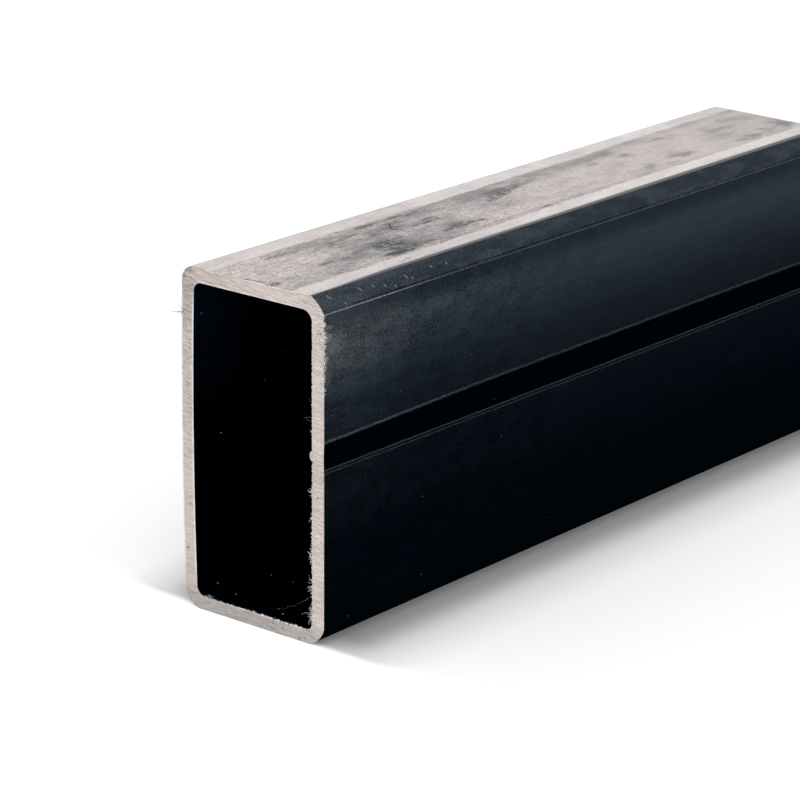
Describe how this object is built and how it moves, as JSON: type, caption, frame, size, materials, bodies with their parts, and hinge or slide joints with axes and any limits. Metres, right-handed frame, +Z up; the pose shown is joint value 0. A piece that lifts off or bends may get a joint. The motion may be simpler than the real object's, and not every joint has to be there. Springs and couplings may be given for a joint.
{
  "type": "rectangular steel tube",
  "caption": "Sawn length of rectangular hollow steel section with rounded bends, a flush outer weld band and a weld bead inside.",
  "frame": {"origin": "middle of the base, on the level that the tube lies on", "axes": "+X along the tube, +Y from the welded side towards the back, +Z up along the tall sides"},
  "size_m": [0.3, 0.0608, 0.12],
  "materials": {
    "steel": "hot-rolled mill skin, blue-black and mottled, with bare saw-cut ends"
  },
  "bodies": {
    "root": {"tube": "steel"}
  },
  "joints": []
}
